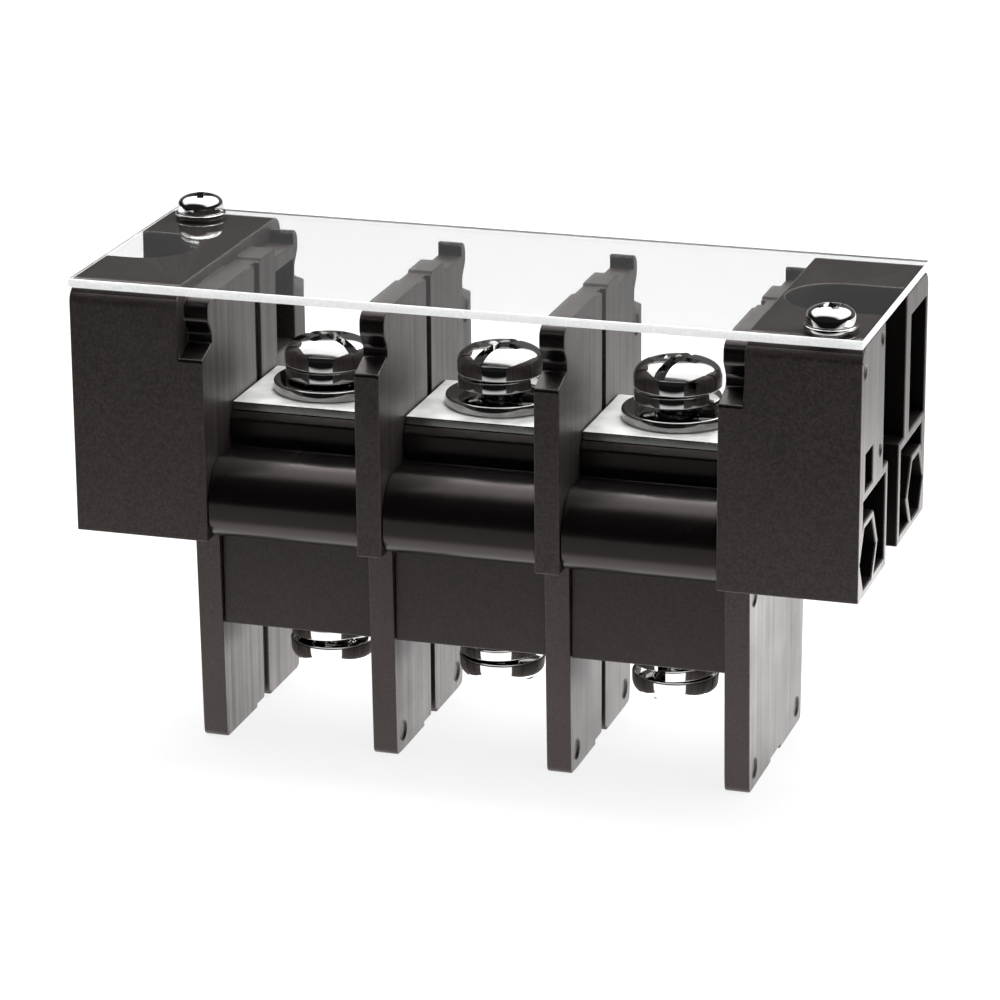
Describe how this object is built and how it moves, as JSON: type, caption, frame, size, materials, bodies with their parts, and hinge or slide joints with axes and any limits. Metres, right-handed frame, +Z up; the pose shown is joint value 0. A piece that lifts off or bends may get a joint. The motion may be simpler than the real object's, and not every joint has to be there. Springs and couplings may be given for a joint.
{
  "type": "barrier terminal strip",
  "caption": "Panel feed-through barrier terminal strip: pole bodies and partitions between slotted end blocks, bent conductors, screws with washers and a clear cover.",
  "frame": {"origin": "on the surface under the lower barriers, below the middle of the strip", "axes": "+X along the row of poles, +Y to the back, +Z up towards the clear cover"},
  "size_m": [0.1098, 0.041, 0.0697],
  "materials": {
    "housing": "satin moulded dark brown-black",
    "plated_strip": "matt tin-plated",
    "clear_sheet": "clear sheet with bright edges",
    "insert_brass": "turned",
    "zinc_steel": "zinc plated",
    "bright_nickel": "bright nickel plated"
  },
  "bodies": {
    "base": {"end_block_left": "housing", "end_block_right": "housing", "partition_1": "housing", "partition_2": "housing", "pole_body_1": "housing", "conductor_1": "plated_strip", "clamp_nut_upper_1": "zinc_steel", "clamp_nut_lower_1": "zinc_steel", "pole_body_2": "housing", "conductor_2": "plated_strip", "clamp_nut_upper_2": "zinc_steel", "clamp_nut_lower_2": "zinc_steel", "pole_body_3": "housing", "conductor_3": "plated_strip", "clamp_nut_upper_3": "zinc_steel", "clamp_nut_lower_3": "zinc_steel", "clear_cover": "clear_sheet", "cover_insert_left": "insert_brass", "cover_insert_right": "insert_brass", "tie_bolt_front": "zinc_steel", "tie_nut_front": "zinc_steel", "tie_bolt_back": "zinc_steel", "tie_nut_back": "zinc_steel"},
    "washers_upper_1": {"plain_washer_upper_1": "bright_nickel", "spring_washer_upper_1": "bright_nickel"},
    "screw_upper_1": {"terminal_screw_upper_1": "bright_nickel"},
    "washers_lower_1": {"plain_washer_lower_1": "bright_nickel", "spring_washer_lower_1": "bright_nickel"},
    "screw_lower_1": {"terminal_screw_lower_1": "bright_nickel"},
    "washers_upper_2": {"plain_washer_upper_2": "bright_nickel", "spring_washer_upper_2": "bright_nickel"},
    "screw_upper_2": {"terminal_screw_upper_2": "bright_nickel"},
    "washers_lower_2": {"plain_washer_lower_2": "bright_nickel", "spring_washer_lower_2": "bright_nickel"},
    "screw_lower_2": {"terminal_screw_lower_2": "bright_nickel"},
    "washers_upper_3": {"plain_washer_upper_3": "bright_nickel", "spring_washer_upper_3": "bright_nickel"},
    "screw_upper_3": {"terminal_screw_upper_3": "bright_nickel"},
    "washers_lower_3": {"plain_washer_lower_3": "bright_nickel", "spring_washer_lower_3": "bright_nickel"},
    "screw_lower_3": {"terminal_screw_lower_3": "bright_nickel"},
    "cover_washer_left": {"cover_washer_left": "bright_nickel"},
    "cover_screw_left": {"cover_screw_left": "bright_nickel"},
    "cover_washer_right": {"cover_washer_right": "bright_nickel"},
    "cover_screw_right": {"cover_screw_right": "bright_nickel"}
  },
  "joints": [
    {"name": "terminal_upper_1_lift", "type": "slide", "parent": "base", "child": "washers_upper_1", "axis": [0, 0, 1], "range_m": [0, 0.004]},
    {"name": "terminal_upper_1_turn", "type": "hinge", "parent": "washers_upper_1", "child": "screw_upper_1", "pos_m": [-0.025, 0, 0.0522], "axis": [0, 0, 1], "range_deg": [0, 1441]},
    {"name": "terminal_lower_1_lift", "type": "slide", "parent": "base", "child": "washers_lower_1", "axis": [0, 0, -1], "range_m": [0, 0.004]},
    {"name": "terminal_lower_1_turn", "type": "hinge", "parent": "washers_lower_1", "child": "screw_lower_1", "pos_m": [-0.025, 0, 0.0114], "axis": [0, 0, -1], "range_deg": [0, 1441]},
    {"name": "terminal_upper_2_lift", "type": "slide", "parent": "base", "child": "washers_upper_2", "axis": [0, 0, 1], "range_m": [0, 0.004]},
    {"name": "terminal_upper_2_turn", "type": "hinge", "parent": "washers_upper_2", "child": "screw_upper_2", "pos_m": [0, 0, 0.0522], "axis": [0, 0, 1], "range_deg": [0, 1441]},
    {"name": "terminal_lower_2_lift", "type": "slide", "parent": "base", "child": "washers_lower_2", "axis": [0, 0, -1], "range_m": [0, 0.004]},
    {"name": "terminal_lower_2_turn", "type": "hinge", "parent": "washers_lower_2", "child": "screw_lower_2", "pos_m": [0, 0, 0.0114], "axis": [0, 0, -1], "range_deg": [0, 1441]},
    {"name": "terminal_upper_3_lift", "type": "slide", "parent": "base", "child": "washers_upper_3", "axis": [0, 0, 1], "range_m": [0, 0.004]},
    {"name": "terminal_upper_3_turn", "type": "hinge", "parent": "washers_upper_3", "child": "screw_upper_3", "pos_m": [0.025, 0, 0.0522], "axis": [0, 0, 1], "range_deg": [0, 1441]},
    {"name": "terminal_lower_3_lift", "type": "slide", "parent": "base", "child": "washers_lower_3", "axis": [0, 0, -1], "range_m": [0, 0.004]},
    {"name": "terminal_lower_3_turn", "type": "hinge", "parent": "washers_lower_3", "child": "screw_lower_3", "pos_m": [0.025, 0, 0.0114], "axis": [0, 0, -1], "range_deg": [0, 1441]},
    {"name": "cover_left_lift", "type": "slide", "parent": "base", "child": "cover_washer_left", "axis": [0, 0, 1], "range_m": [0, 0.0035]},
    {"name": "cover_left_turn", "type": "hinge", "parent": "cover_washer_left", "child": "cover_screw_left", "pos_m": [-0.04955, 0.0159, 0.0672], "axis": [0, 0, 1], "range_deg": [0, 1801]},
    {"name": "cover_right_lift", "type": "slide", "parent": "base", "child": "cover_washer_right", "axis": [0, 0, 1], "range_m": [0, 0.0035]},
    {"name": "cover_right_turn", "type": "hinge", "parent": "cover_washer_right", "child": "cover_screw_right", "pos_m": [0.04955, -0.0159, 0.0672], "axis": [0, 0, 1], "range_deg": [0, 1801]}
  ],
  "couplings": [
    {"joint": "terminal_upper_1_turn", "follows": "terminal_upper_1_lift", "rad_per_m": 6283.2},
    {"joint": "terminal_lower_1_turn", "follows": "terminal_lower_1_lift", "rad_per_m": 6283.2},
    {"joint": "terminal_upper_2_turn", "follows": "terminal_upper_2_lift", "rad_per_m": 6283.2},
    {"joint": "terminal_lower_2_turn", "follows": "terminal_lower_2_lift", "rad_per_m": 6283.2},
    {"joint": "terminal_upper_3_turn", "follows": "terminal_upper_3_lift", "rad_per_m": 6283.2},
    {"joint": "terminal_lower_3_turn", "follows": "terminal_lower_3_lift", "rad_per_m": 6283.2},
    {"joint": "cover_left_turn", "follows": "cover_left_lift", "rad_per_m": 8976},
    {"joint": "cover_right_turn", "follows": "cover_right_lift", "rad_per_m": 8976}
  ]
}
